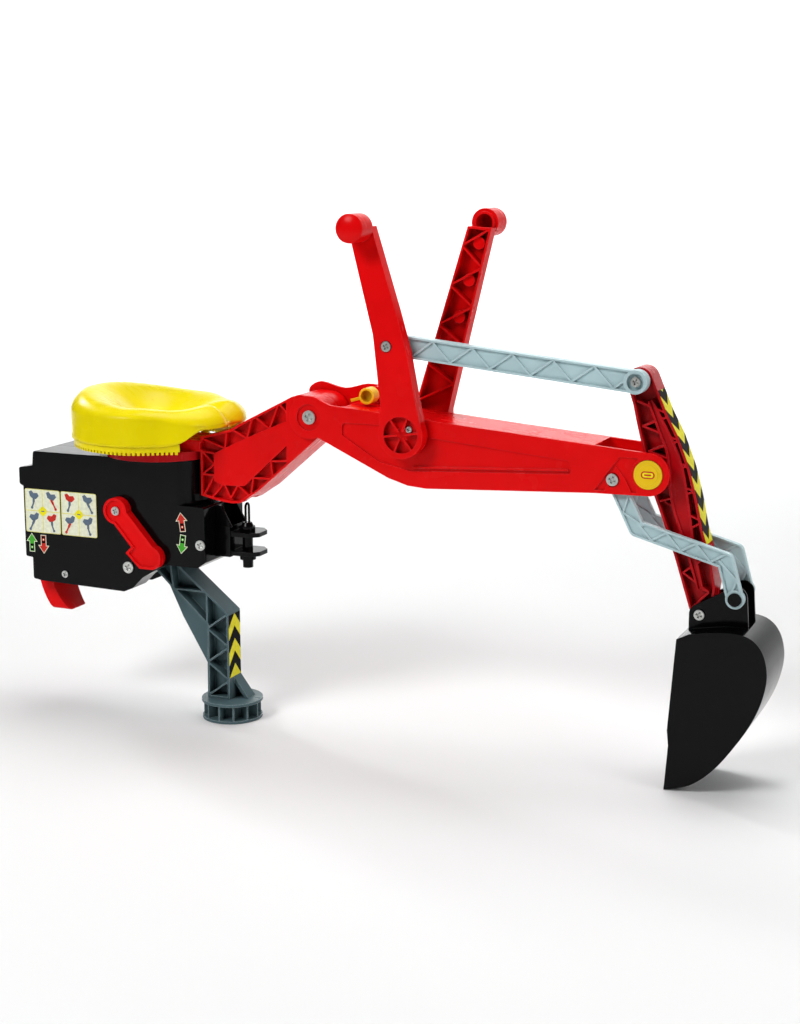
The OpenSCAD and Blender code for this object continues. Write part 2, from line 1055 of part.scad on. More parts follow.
module near_lever() {
    face = -boom_half - 1.5 - lever_thick;
    open = -boom_half - 1.5;
    color("#e01010")
        difference() {
            union() {
                tray(face, open)
                    near_lever2d();
                side(face, open)
                    intersection() {
                        near_lever2d();
                        zigzag2d([248, 452], [210, 650], [296, 452], [240, 650], 9);
                    }
                across(lever_pivot, 11, face + 8, open);
                across(rod_on_lever, 9, face, open);
                for (a = hub_ribs) {
                    side(face + 1, open)
                        intersection() {
                            translate(lever_pivot)
                                circle(r = hub_r - 1);
                            translate(lever_pivot)
                                rotate(a)
                                    translate([9, -rib / 2])
                                        square([hub_r, rib]);
                        }
                }
                across(lever_pivot, hub_r - 1, face + 8, face + 11);
            }
            difference() {
                across(lever_pivot, hub_r - 7, face - over, face + 8);
                for (a = hub_ribs) {
                    side(face + 1, face + 9)
                        translate(lever_pivot)
                            rotate(a)
                                translate([5, -rib / 2])
                                    square([hub_r, rib]);
                }
            }
            across(lever_pivot, axle_r + fit, face + 10, open + over);
            across(rod_on_lever, bolt_r, face - over, open + over);
            across(rod_on_lever, 7.5, face - over, face + 2);
            across(near_grip_at, grip_radius - 4, face - over, face + 4);
            across(lever_pivot + hub_screw_at, 1.8, face, face + 12);
        }
}

module far_lever() {
    face = boom_half + lever_thick;
    open = boom_half;
    color("#e01010")
        difference() {
            union() {
                tray(face, open)
                    far_lever2d();
                side(open, face)
                    intersection() {
                        far_lever2d();
                        zigzag2d([256, 446], [327, 672], [303, 446], [359, 669], 9);
                    }
                for (i = [0 : 3]) {
                    across(along([341, 650], [302, 510], i / 3), 8, open + 4, face);
                }
                across(lever_pivot, 13, open, face);
            }
            across(lever_pivot, axle_r, open - over, face - 4);
            across(far_grip_at, grip_radius - 4, face - 4, face + over);
        }
}

// A grip is a hollow sleeve with a gently domed outer end
module grip(p, s) {
    root = boom_half + 1.5 + lever_thick;
    tip = root + grip_length - lever_thick;
    dome = 34;
    color("#e01010")
        difference() {
            union() {
                across(p, grip_radius, s < 0 ? -tip : root, s < 0 ? -root : tip);
                across(p, grip_radius - 4 - fit, s < 0 ? -root - 1 : root - 3.5,
                       s < 0 ? -root + 3.5 : root + 1);
                intersection() {
                    translate([p[0], s * (tip - sqrt(dome * dome - grip_radius * grip_radius)), p[1]])
                        sphere(r = dome);
                    across(p, grip_radius, s < 0 ? -tip - 10 : tip - 1, s < 0 ? -tip + 1 : tip + 10);
                }
            }
            across(p, grip_radius - 7, s < 0 ? -tip + 3 : root - 4, s < 0 ? -root + 4 : tip - 3);
        }
}

module near_grip() {
    grip(near_grip_at, -1);
}

module far_grip() {
    grip(far_grip_at, 1);
}

// The off-centre screw in the near lever's hub
module hub_screw() {
    face = -boom_half - 1.5 - lever_thick;
    color("silver")
        near_screw(lever_pivot + hub_screw_at, face + 8, 4.2, 1.8, 3);
}

module rod_lever_bolt() {
    face = -boom_half - 1.5 - lever_thick;
    color("silver")
        cross_bolt(rod_on_lever, bolt_r, 6.5, face + 2, -boom_half + 17);
}

// ---------------------------------------------------------------- push rod

rod_y0 = -boom_half - 0.5;
rod_y1 = -dipper_half - 4.5;

module rod2d() {
    union() {
        bar2d(rod_on_lever, rod_on_dipper, rod_height);
        translate(rod_on_lever)
            circle(d = rod_height);
        translate(rod_on_dipper)
            circle(r = 14.5);
    }
}

module push_rod() {
    span = rod_on_dipper - rod_on_lever;
    up = [-span[1], span[0]] / norm(span) * (rod_height / 2 - 2);
    color("#8d989d")
        difference() {
            union() {
                side(rod_y0, rod_y1)
                    border2d(rib)
                        rod2d();
                side(rod_y0 + 4, rod_y0 + 4 + rib)
                    rod2d();
                side(rod_y0 + 1.5, rod_y1)
                    intersection() {
                        rod2d();
                        zigzag2d(rod_on_lever + up, rod_on_dipper + up,
                                 rod_on_lever - up, rod_on_dipper - up, 12);
                    }
                across(rod_on_lever, 11, rod_y0, rod_y1);
                across(rod_on_dipper, 14.5, rod_y0, rod_y1);
            }
            across(rod_on_lever, bolt_r + fit, -60, 0);
            across(rod_on_dipper, bolt_r + fit, -60, 0);
            across(rod_on_dipper, 10.5, rod_y0 - over, rod_y0 + 6);
        }
}

module rod_end_bolt() {
    color("silver")
        cross_bolt(rod_on_dipper, bolt_r, 6, rod_y0 + 5.5, dipper_half + 6);
}

// ---------------------------------------------------------------- dipper

module dipper2d() {
    union() {
        polygon([
            rod_on_dipper + [-15.5, -4], [562, 465], [567, 443], [588, 363],
            [600, 333], [618, 284], bucket_pivot + [-13.5, 4],
            bucket_pivot + [13.5, 4], [669, 250], [664, 276], [651, 318],
            [643, 355], [633, 391], [618, 429], [603, 457], rod_on_dipper + [15, 6]
        ]);
        translate(rod_on_dipper)
            circle(r = 16);
        translate(bucket_pivot)
            circle(r = 13.5);
        translate(dipper_pivot)
            circle(r = 19);
    }
}

// Edges of the long raised panel in the middle of the dipper's side
spear_rear = smooth([[580, 470], [594, 436], [606, 404], [612, 352], [630, 300], [652, 234]], 4);
spear_front = smooth([[584, 472], [608, 430], [624, 392], [634, 340], [642, 292], [656, 236]], 4);

module spear2d() {
    polygon(concat(spear_rear, [for (i = [len(spear_front) - 1 : -1 : 0]) spear_front[i]]));
}

module dipper() {
    color("#c81010")
        difference() {
            union() {
                side(-dipper_half, dipper_half)
                    border2d(skin)
                        dipper2d();
                side(-2, 2)
                    dipper2d();
                side(-dipper_half + 4, dipper_half - 4)
                    spear2d();
                side(-dipper_half + 1, dipper_half - 1)
                    intersection() {
                        dipper2d();
                        union() {
                            difference() {
                                union() {
                                    zigzag2d([604, 350], [641, 222], [648, 350], [664, 222], 6);
                                    zigzag2d([566, 470], [598, 350], [604, 470], [646, 350], 8);
                                }
                                spear2d();
                            }
                            path2d(spear_rear, 3);
                            path2d(spear_front, 3);
                        }
                    }
                across(rod_on_dipper, 12, -dipper_half - 4, dipper_half + 4);
                across(dipper_pivot, 15, -dipper_half - 2, dipper_half + 2);
                across(bucket_pivot, 12, -dipper_half, dipper_half);
            }
            across(rod_on_dipper, bolt_r, -60, 60);
            across(dipper_pivot, axle_r + fit, -60, 60);
            across(bucket_pivot, bolt_r + fit, -60, 60);
        }
}

// The warning tape on the front of the dipper
module dipper_sticker() {
    tape = [
        along(rod_on_dipper + [15, 6], [603, 457], 0.4), [603, 457], [618, 429],
        [633, 391], [643, 355], [651, 318], along([651, 318], [664, 276], 0.4)
    ];
    color("#f2d21a")
        side(-dipper_half + 2, dipper_half - 2)
            for (i = [0 : len(tape) - 2]) {
                a = tape[i];
                b = tape[i + 1];
                n = [b[1] - a[1], a[0] - b[0]] / norm(b - a);
                bar2d(a - n * label / 2, b - n * label / 2, label);
            }
}

// ---------------------------------------------------------------- bucket links

link_elbows = [[574, 317], [683, 287]];
link_eye = 8.2;
link_pin = 3.6;
link_y0 = dipper_half + 6;
link_y1 = link_y0 + 8;

module link2d(w) {
    path2d([link_on_boom, link_elbows[0], link_elbows[1], link_on_bucket], w);
}

// A link is an open channel with zigzag ribs; s is its side of the arm
module link(s) {
    y0 = s < 0 ? -link_y1 : link_y0;
    y1 = s < 0 ? -link_y0 : link_y1;
    web = s < 0 ? y0 + 3 : y1 - rib - 3;
    h = link_width / 2 - 2;
    color("#8d989d")
        difference() {
            union() {
                side(y0, y1)
                    difference() {
                        link2d(link_width);
                        link2d(link_width - 2 * rib);
                    }
                side(web, web + rib)
                    link2d(link_width);
                side(y0 + 1, y1 - 1)
                    union() {
                        zigzag2d(link_elbows[0] + [0, h], link_elbows[1] + [0, h],
                                 link_elbows[0] - [0, h], link_elbows[1] - [0, h], 6);
                        zigzag2d(link_on_boom - [h, 4], link_elbows[0] - [h, 0],
                                 link_on_boom + [h, -4], link_elbows[0] + [h, 4], 3);
                        zigzag2d(link_on_bucket - [h, 0], link_elbows[1] - [h, 0],
                                 link_on_bucket + [h, 0], link_elbows[1] + [h, 0], 2);
                    }
                across(link_on_boom, link_width / 2, y0, y1);
                across(link_on_bucket, link_width / 2 + 1.5, y0, y1);
            }
            across(link_on_boom, bolt_r + fit, -60, 60);
            across(link_on_bucket, link_eye, -60, 60);
        }
}

module link_near() {
    link(-1);
}

module link_far() {
    link(1);
}

// ---------------------------------------------------------------- bucket

// Side view of the bucket's outside
module bucket2d() {
    mouth = [[622, 0], [626, 57], [624, 76], [628, 140], [632, 191]];
    back = [
        [648, 199], [690, 205], [718, 202], [735, 186], [742, 160], [739, 133],
        [729, 104], [711, 72], [683, 34], [654, 10], [622, 0]
    ];
    polygon(concat(mouth, smooth(back, 5)));
}

module bucket() {
    y_in = bucket_half - bucket_wall;
    color("#141414")
        difference() {
            union() {
                difference() {
                    side(-bucket_half, bucket_half)
                        bucket2d();
                    side(-y_in, y_in)
                        union() {
                            offset(delta = -bucket_wall)
                                bucket2d();
                            polygon([[600, 8], [640, 9], [640, 190], [600, 190]]);
                        }
                }
                for (s = [-1, 1]) {
                    y = s < 0 ? -dipper_half - 4 : dipper_half + 0.5;
                    side(y, y + 3.5)
                        union() {
                            path2d([bucket_pivot, link_on_bucket], 26);
                            polygon([
                                bucket_pivot + [-13, 0], [639, 195], [712, 200],
                                link_on_bucket + [13, 0], link_on_bucket + [0, -5]
                            ]);
                        }
                }
            }
            across(bucket_pivot, bolt_r, -60, 60);
            across(link_on_bucket, link_pin, -60, 60);
        }
}

module bucket_bolt() {
    color("silver")
        cross_bolt(bucket_pivot, bolt_r, 6.5, -dipper_half - 4, dipper_half + 5);
}

// Black pin that joins the links to the bucket
module bucket_link_pin() {
    color("#202020")
        union() {
            across(link_on_bucket, link_pin, -link_y1 - 1, link_y1 + 1);
            for (y = [-link_y1 - 2.3, link_y1 + gap]) {
                across(link_on_bucket, link_eye, y, y + 2);
            }
        }
}

// ---------------------------------------------------------------- output

housing_near();
housing_far();
housing_screws();
hitch_clevis();
leg_axle();
latch_axle();
lock_lever();
lock_lever_screw();
tractor_latch();
guide_sticker();
arrow_stickers();
leg_frame();
foot();
leg_sticker();
hitch_pin();
hitch_pin_loop();
turntable();
kingpin();
kingpin_nut();
seat_screws();
seat();
base_near();
base_far();
base_screws();
boom();
boom_pivot_bolt();
boom_pivot_nut();
lever_axle();
link_bolt();
dipper_axle();
end_cap_near();
end_cap_far();
far_lever();
far_grip();
lock_pin();
near_lever();
near_grip();
hub_screw();
rod_lever_bolt();
push_rod();
rod_end_bolt();
dipper();
dipper_sticker();
link_near();
link_far();
bucket();
bucket_bolt();
bucket_link_pin();
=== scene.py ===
"""Looks of the toy excavator attachment: plastics, labels, rounded edges, camera and light."""

import json
import math

import bmesh
import bpy
from mathutils import Matrix, Vector


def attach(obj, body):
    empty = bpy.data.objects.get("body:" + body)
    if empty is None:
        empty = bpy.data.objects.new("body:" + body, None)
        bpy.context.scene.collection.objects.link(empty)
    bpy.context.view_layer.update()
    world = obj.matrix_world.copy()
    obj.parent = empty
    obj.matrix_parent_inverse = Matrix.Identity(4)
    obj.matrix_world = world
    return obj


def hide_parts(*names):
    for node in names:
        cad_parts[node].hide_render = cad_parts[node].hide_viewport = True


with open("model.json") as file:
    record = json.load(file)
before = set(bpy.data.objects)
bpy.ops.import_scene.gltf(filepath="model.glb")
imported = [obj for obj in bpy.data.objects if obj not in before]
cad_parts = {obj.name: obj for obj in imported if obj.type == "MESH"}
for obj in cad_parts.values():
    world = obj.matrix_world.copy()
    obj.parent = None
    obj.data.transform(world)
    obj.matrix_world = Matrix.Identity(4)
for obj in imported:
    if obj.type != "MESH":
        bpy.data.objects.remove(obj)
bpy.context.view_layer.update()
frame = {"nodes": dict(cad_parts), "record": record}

MM = 0.001
BODIES = frame["record"]["behaviour"]["bodies"]
BODY_OF = {node: body for body, nodes in BODIES.items() for node in nodes}

# Radii of the rounded edges of moulded plastic, of small moulded parts and of steel
PLASTIC_EDGE = 0.5 * MM
FINE_EDGE = 0.2 * MM
STEEL_EDGE = 0.3 * MM
# Points closer than this are one point
SAME_PLACE = 0.002 * MM
# Edges shorter than these are closed up, before and after the rounding
SHORT_EDGE = 0.25 * MM
TINY_EDGE = 0.01 * MM
# Faces that meet at less than this angle, in degrees, are one flat face
FLAT_ANGLE = 1
# Edges sharper than this angle, in degrees, are rounded
CORNER_ANGLE = 32
# Faces that meet at less than these angles, in degrees, are shaded as one curve
SMOOTH_ANGLE = 40
SEAT_SMOOTH_ANGLE = 50


# ------------------------------------------------------------------ materials


class Surface:
    """A procedural material built round one Principled shader. Lengths are in metres."""

    def __init__(self, name):
        self.material = bpy.data.materials.new(name)
        self.material.use_nodes = True
        self.tree = self.material.node_tree
        self.shader = self.tree.nodes["Principled BSDF"]
        self.place = self.node("ShaderNodeTexCoord").outputs["Object"]

    def node(self, kind, inputs=None, **settings):
        made = self.tree.nodes.new(kind)
        for key, value in settings.items():
            setattr(made, key, value)
        for key, value in (inputs or {}).items():
            self.feed(made.inputs[key], value)
        return made

    def feed(self, socket, value):
        if isinstance(value, bpy.types.NodeSocket):
            self.tree.links.new(value, socket)
        else:
            socket.default_value = value

    def set(self, **values):
        for key, value in values.items():
            self.feed(self.shader.inputs[key.replace("_", " ")], value)

    def noise(self, scale, detail, stretch=(1, 1, 1)):
        mapping = self.node("ShaderNodeMapping", {"Vector": self.place, "Scale": stretch})
        inputs = {"Vector": mapping.outputs["Vector"], "Scale": scale, "Detail": detail}
        return self.node("ShaderNodeTexNoise", inputs).outputs["Fac"]

    def span(self, value, low, high, out_low, out_high):
        """Turns low to high into out_low to out_high, and stops at both ends."""
        inputs = {"Value": value, "From Min": low, "From Max": high,
                  "To Min": out_low, "To Max": out_high}
        return self.node("ShaderNodeMapRange", inputs).outputs["Result"]

    def mix(self, factor, a, b):
        made = self.node("ShaderNodeMix", data_type="RGBA")
        self.feed(made.inputs["Factor"], factor)
        self.feed(made.inputs[6], a)
        self.feed(made.inputs[7], b)
        return made.outputs[2]

    def math(self, operation, a, b):
        return self.node("ShaderNodeMath", {0: a, 1: b}, operation=operation).outputs["Value"]

    def bump(self, height, strength, distance):
        inputs = {"Height": height, "Strength": strength, "Distance": distance}
        return self.node("ShaderNodeBump", inputs).outputs["Normal"]

    def worn_highlit_edge_mask(self, radius):
        """1 along edges and 0 on flat faces, where the colour turns paler: part worn plastic, part
        painted highlight.
        """
        rounded = self.node("ShaderNodeBevel", {"Radius": radius}, samples=4).outputs["Normal"]
        plain = self.node("ShaderNodeNewGeometry").outputs["Normal"]
        same = self.node("ShaderNodeVectorMath", {0: rounded, 1: plain}, operation="DOT_PRODUCT")
        return self.span(same.outputs["Value"], 0.985, 0.86, 0.0, 1.0)

    def recess_shade_mask(self, reach, shallow=0.75, deep=0.15):
        """1 deep in a recess and 0 on open faces; it places painted shade."""
        open_share = self.node("ShaderNodeAmbientOcclusion", {"Distance": reach}, samples=6)
        return self.span(open_share.outputs["AO"], shallow, deep, 0.0, 1.0)


def rgb(r, g, b):
    return (r, g, b, 1.0)


def scaled(colour, share):
    return (colour[0] * share, colour[1] * share, colour[2] * share, 1.0)


def moulded(name, colour, worn_highlit_colour, rough=0.24, worn_and_highlit=0.5, shade=0.6, shine=0.12):
    """Injection-moulded plastic: faint flow marks, orange peel, fine scratches, paler edges that
    are part worn plastic and part painted highlight, and painted shade that darkens recesses."""
    s = Surface(name)
    cloud = s.noise(11, 3)
    flow = s.noise(34, 5, (1, 2.5, 1))
    peel = s.noise(900, 2)
    scratch = s.span(s.noise(70, 9, (1, 1, 16)), 0.68, 0.78, 0.0, 0.3)
    body = s.mix(s.span(cloud, 0.3, 0.7, 0.0, 1.0), scaled(colour, 0.9), scaled(colour, 1.08))
    # Paler edges: part worn plastic and part painted highlight
    edged = s.mix(s.math("MULTIPLY", s.worn_highlit_edge_mask(0.9 * MM), worn_and_highlit), body, worn_highlit_colour)
    # Painted shade: recesses are darkened towards 0.3 of the colour
    dark = s.math("MULTIPLY", s.recess_shade_mask(14 * MM), shade)
    s.set(Base_Color=s.mix(dark, edged, scaled(colour, 0.3)))
    gloss = s.span(flow, 0.3, 0.7, rough - 0.03, rough + 0.05)
    s.set(Roughness=s.math("ADD", gloss, s.math("MULTIPLY", scratch, 0.16)))
    height = s.math("SUBTRACT", s.math("MULTIPLY", peel, 0.5), s.math("MULTIPLY", scratch, 0.3))
    s.set(Normal=s.bump(height, 0.16, 0.05 * MM))
    s.set(Specular_IOR_Level=shine)
    return s.material


def zinc(name):
    """Zinc-plated steel: cloudy plating with a brushed grain, and painted near-black shade in
    recesses.
    """
    s = Surface(name)
    colour = (0.62, 0.63, 0.6)
    rough = 0.3
    cloud = s.noise(160, 4)
    grain = s.noise(420, 3, (1, 1, 9))
    plating = s.mix(cloud, scaled(colour, 0.78), scaled(colour, 1.2))
    # Painted shade: recesses turn nearly black
    s.set(Base_Color=s.mix(s.recess_shade_mask(2.5 * MM, 0.85, 0.5), plating, scaled(colour, 0.02)))
    s.set(Roughness=s.span(grain, 0.3, 0.7, rough - 0.08, rough + 0.12))
    s.set(Normal=s.bump(grain, 0.2, 0.05 * MM), Metallic=1.0)
    return s.material


def film(name, colour, shine=0.15):
    """Printed label film, a little uneven in its ink."""
    s = Surface(name)
    rough = 0.42
    ink = s.noise(240, 4)
    dust = s.noise(1500, 2)
    thick = s.span(ink, 0.35, 0.65, 0.0, 1.0)
    s.set(Base_Color=s.mix(thick, scaled(colour, 0.9), scaled(colour, 1.05)))
    s.set(Roughness=s.span(dust, 0.3, 0.7, rough - 0.06, rough + 0.08))
    s.set(Normal=s.bump(dust, 0.12, 0.03 * MM), Specular_IOR_Level=shine)
    return s.material


# Each plastic's second colour is its paler edge colour, part worn plastic and part painted
# highlight; shade sets how dark the painted shade in recesses is
RED = moulded("red plastic", (0.80, 0.003, 0.004), rgb(1.0, 0.08, 0.09), shine=0.08)
DARK_RED = moulded("dark red plastic", (0.52, 0.004, 0.008), rgb(0.85, 0.07, 0.09), worn_and_highlit=0.6)
BLACK = moulded("black plastic", (0.002, 0.002, 0.0024), rgb(0.03, 0.04, 0.04),
                rough=0.13, worn_and_highlit=0.3)
GREY = moulded("grey plastic", (0.46, 0.62, 0.65), rgb(0.70, 0.80, 0.82),
               rough=0.3, worn_and_highlit=0.8, shade=0.4)
LEG_GREY = moulded("leg grey plastic", (0.085, 0.14, 0.155), rgb(0.52, 0.62, 0.64),
                   rough=0.3, worn_and_highlit=0.9)
YELLOW = moulded("seat yellow plastic", (0.86, 0.71, 0.003), rgb(0.96, 0.82, 0.03),
                 rough=0.26, worn_and_highlit=0.3, shade=0.45)
CAP_YELLOW = moulded("cap yellow plastic", (0.93, 0.60, 0.012), rgb(1.0, 0.80, 0.10), rough=0.3)
STEEL = zinc("zinc steel")
CREAM_INK = film("cream film", (0.86, 0.88, 0.68))
PALE_YELLOW_INK = film("pale yellow film", (0.82, 0.78, 0.22))
YELLOW_INK = film("yellow film", (0.93, 0.83, 0.01))
BLACK_INK = film("black film", (0.003, 0.003, 0.003), shine=0.03)
RED_INK = film("red film", (0.62, 0.03, 0.02))
GREEN_INK = film("green film", (0.06, 0.42, 0.03))
BLUE_GREY_INK = film("blue grey film", (0.12, 0.17, 0.24))


# ------------------------------------------------------------------ pieces


def add_object(name, bm, materials):
    """The object made of this finished bmesh, with these materials."""
    mesh = bpy.data.meshes.new(name)
    bm.to_mesh(mesh)
    bm.free()
    for material in materials:
        mesh.materials.append(material)
    made = bpy.data.objects.new(name, mesh)
    bpy.context.scene.collection.objects.link(made)
    return made


def smooth_by_angle(bm, degrees):
    """Smooth faces, with hard edges where two faces meet at more than this angle."""
    limit = math.radians(degrees)
    for face in bm.faces:
        face.smooth = True
    for edge in bm.edges:
        edge.smooth = len(edge.link_faces) == 2 and edge.calc_face_angle(0.0) < limit


def finish_piece(piece, node):
    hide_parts(node)
    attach(piece, BODY_OF[node])


def rounded(node, material, slot, radius):
    """The CAD node's shape with its edges rounded."""
    bm = bmesh.new()
    bm.from_mesh(frame["nodes"][node].data)
    bmesh.ops.remove_doubles(bm, verts=bm.verts, dist=SAME_PLACE)
    flat = math.radians(FLAT_ANGLE)
    bmesh.ops.dissolve_limit(bm, angle_limit=flat, verts=bm.verts, edges=bm.edges)
    bmesh.ops.connect_verts_concave(bm, faces=bm.faces)
    bmesh.ops.dissolve_degenerate(bm, dist=SHORT_EDGE, edges=bm.edges)
    limit = math.radians(CORNER_ANGLE)
    corners = [e for e in bm.edges if e.is_manifold and e.calc_face_angle(0.0) > limit]
    bmesh.ops.bevel(bm, geom=corners, offset=radius, offset_type="OFFSET", segments=2, profile=0.5,
                    affect="EDGES", clamp_overlap=False, loop_slide=False)
    bmesh.ops.connect_verts_concave(bm, faces=bm.faces)
    bmesh.ops.dissolve_degenerate(bm, dist=TINY_EDGE, edges=bm.edges)
    loose = [e for e in bm.edges if not e.link_faces]
    bmesh.ops.delete(bm, geom=loose, context="EDGES")
    smooth_by_angle(bm, SMOOTH_ANGLE)
    piece = add_object(node + "_moulded", bm, [material])
    weighted = piece.modifiers.new("flat faces", "WEIGHTED_NORMAL")
    weighted.keep_sharp = True
    weighted.weight = 90
    finish_piece(piece, node)


def dressed(node, material):
    """A CAD node whose shape is right: it only gets a better material."""
    mesh = frame["nodes"][node].data
    mesh.materials.clear()
    mesh.materials.append(material)


PLASTIC_NODES = [
    (RED, "red_plastic", ["base_near", "base_far", "boom", "near_lever", "far_lever", "near_grip",
                          "far_grip", "lock_lever", "tractor_latch"]),
    (DARK_RED, "red_plastic", ["dipper", "turntable"]),
    (BLACK, "black_plastic", ["housing_near", "housing_far", "hitch_clevis", "hitch_pin",
                              "bucket_link_pin", "bucket"]),
    (GREY, "grey_plastic", ["push_rod", "link_near", "link_far"]),
    (LEG_GREY, "grey_plastic", ["leg_frame", "foot"]),
    (CAP_YELLOW, "yellow_plastic", ["end_cap_near", "end_cap_far", "lock_pin"]),
]
FINE_NODES = ["link_near", "link_far", "end_cap_near", "end_cap_far"]
for material, slot, nodes in PLASTIC_NODES:
    for node in nodes:
        rounded(node, material, slot, FINE_EDGE if node in FINE_NODES else PLASTIC_EDGE)

STEEL_NODES = [
    "housing_screws", "leg_axle", "latch_axle", "lock_lever_screw", "kingpin", "kingpin_nut",
    "seat_screws", "base_screws", "boom_pivot_bolt", "boom_pivot_nut", "lever_axle", "link_bolt",
    "dipper_axle", "hub_screw", "rod_lever_bolt", "rod_end_bolt", "bucket_bolt",
]
for node in STEEL_NODES:
    rounded(node, STEEL, "steel", STEEL_EDGE)

dressed("hitch_pin_loop", BLACK)


# ------------------------------------------------------------------ seat

# Lengths are in mm, angles in degrees off the seat's front, shares of the seat's radius.
SEAT_X = -104
SEAT_RADIUS = 118
# Height of the ridge at the sides, on the two front lobes and at the back, and of the dish
SEAT_SIDE_Z = 434
SEAT_LOBE_Z = 430
SEAT_BACK_Z = 450
SEAT_DISH_Z = 404
# The ridge runs round at this share of the radius
SEAT_RIDGE = 0.8
SEAT_SHELL = 4
# The outline is drawn in by these shares at the front and at the waist beside each lobe
FRONT_NOTCH = 0.075
WAIST_NOTCH = 0.06
WAIST_ANGLE = 58
LOBE_ANGLE = 45
# Height of the skirt's lower edge at the front, beside it, and at the sides and back
SKIRT_FRONT_Z = 406
SKIRT_SIDE_Z = 388
SKIRT_REST_Z = 386
# The toothed band: its heights, the shares it lies between, its ends and its teeth
BAND_TOP_Z = 388
BAND_TOOTH_Z = 375
BAND_GAP_Z = 378.5
BAND_INSIDE = 0.945
BAND_OUTSIDE = 0.975
BAND_START = 46
BAND_TEETH = 84
# The posts that carry the seat on the turntable
SLEW_X = -100
TABLE_TOP = 372
POST_REACH = 60
POST_RADIUS = 6
POST_ANGLES = (45, 135, 225, 315)


def ease(t):
    """Smooth step from 0 to 1."""
    u = max(0.0, min(1.0, t))
    return u * u * (3 - 2 * u)


def off_front(a):
    """Angle from the seat's front, to either side, in degrees."""
    return abs(a - 360 if a > 180 else a)


def seat_place(a, t, z):
    """The point at angle a and share t of the seat's outline."""
    f = off_front(a)
    front = FRONT_NOTCH * (1 - ease(f / 14))
    waist = WAIST_NOTCH * (1 - ease(abs(f - WAIST_ANGLE) / 26))
    reach = SEAT_RADIUS * t * (1 - front - waist)
    turn = math.radians(a)
    return Vector((SEAT_X + reach * math.cos(turn), reach * math.sin(turn), z)) * MM


def ridge_z(a):
    """Height of the ridge: high at the back, lower on the lobes and lowest in the front notch."""
    f = off_front(a)
    back = (SEAT_BACK_Z - SEAT_SIDE_Z) * ease((f - 80) / 90)
    lobe = (SEAT_LOBE_Z - SEAT_SIDE_Z) * (1 - ease(abs(f - LOBE_ANGLE) / 34))
    notch = -10 * (1 - ease(f / 16))
    return SEAT_SIDE_Z + back + lobe + notch


def edge_z(a):
    """Height of the outer edge, where the top turns down into the skirt."""
    f = off_front(a)
    return ridge_z(a) - 18 + 10 * ease((f - 20) / 50) - 12 * ease((f - 80) / 80)


def seat_z(a, t):
    """Height of the seat's top: a dish up to the ridge, then a slope down to the edge."""
    if t < SEAT_RIDGE:
        return SEAT_DISH_Z + (ridge_z(a) - SEAT_DISH_Z) * ease(t / SEAT_RIDGE)
    return ridge_z(a) + (edge_z(a) - ridge_z(a)) * ((t - SEAT_RIDGE) / (1 - SEAT_RIDGE)) ** 2


def skirt_z(a):
    """Height of the skirt's lower edge, which rises over the arm at the front."""
    f = off_front(a)
    if f < 50:
        return SKIRT_FRONT_Z + (SKIRT_SIDE_Z - SKIRT_FRONT_Z) * ease((f - 30) / 20)
    return SKIRT_REST_Z + (SKIRT_SIDE_Z - SKIRT_REST_Z) * (1 - ease((f - 50) / 10))


def ring_faces(bm, low, high):
    """The strip of quads between two closed loops with as many corners each."""
    pairs = list(zip(low, high))
    return [bm.faces.new([a, c, d, b]) for (a, b), (c, d) in zip(pairs, pairs[1:] + pairs[:1])]


def add_loops(bm, loops):
    """Joins closed loops of points in a row. Returns the loops' corners."""
    rows = [[bm.verts.new(point) for point in loop] for loop in loops]
    for low, high in zip(rows, rows[1:]):
        ring_faces(bm, low, high)
    return rows


def seat_shell(bm):
    """The dished pan, its rolled edge, the skirt with a small lip, and the underside."""
    angles = [2.5 * i for i in range(144)]
    rings = 36
    shares = [k / rings for k in range(1, rings)]
    top = [[seat_place(a, t, seat_z(a, t)) for a in angles] for t in shares]
    # Pairs of a share of the outline and a drop below the top's edge, then of a share and
    # a rise above the skirt's lower edge
    roll = [(0.994, 1.2), (1.0, 3.6)]
    top += [[seat_place(a, t, edge_z(a) - drop) for a in angles] for t, drop in roll]
    lip = [(0.992, 5.5), (1.0, 4.0), (1.0, 0.6), (0.995, 0.0), (0.97, 0.0)]
    side = [[seat_place(a, t, skirt_z(a) + up) for a in angles] for t, up in lip]
    under = [[seat_place(a, t, seat_z(a, t - 0.03) - SEAT_SHELL) for a in angles]
             for t in (0.96, 0.9, 0.8, 0.66, 0.5, 0.34, 0.18, 0.08)]
    rows = add_loops(bm, top + side + under)
    for row, z in ((rows[0], SEAT_DISH_Z), (rows[-1], SEAT_DISH_Z - SEAT_SHELL)):
        centre = bm.verts.new(seat_place(0, 0, z))
        for a, b in zip(row, row[1:] + row[:1]):
            bm.faces.new([a, b, centre])


def seat_band(bm):
    """The toothed band under the skirt, open at the front where the arm comes out."""
    pitch = (360 - 2 * BAND_START) / BAND_TEETH
    tooth = ((0.0, BAND_TOOTH_Z), (0.52, BAND_TOOTH_Z), (0.56, BAND_GAP_Z), (0.96, BAND_GAP_Z))
    stations = [(BAND_START + pitch * (i + share), bottom)
                for i in range(BAND_TEETH) for share, bottom in tooth]
    sections = [[seat_place(a, BAND_INSIDE, BAND_TOP_Z), seat_place(a, BAND_OUTSIDE, BAND_TOP_Z),
                 seat_place(a, BAND_OUTSIDE, bottom), seat_place(a, BAND_INSIDE, bottom)]
                for a, bottom in stations]
    rows = add_loops(bm, sections)
    bm.faces.new(rows[0])
    bm.faces.new(rows[-1])


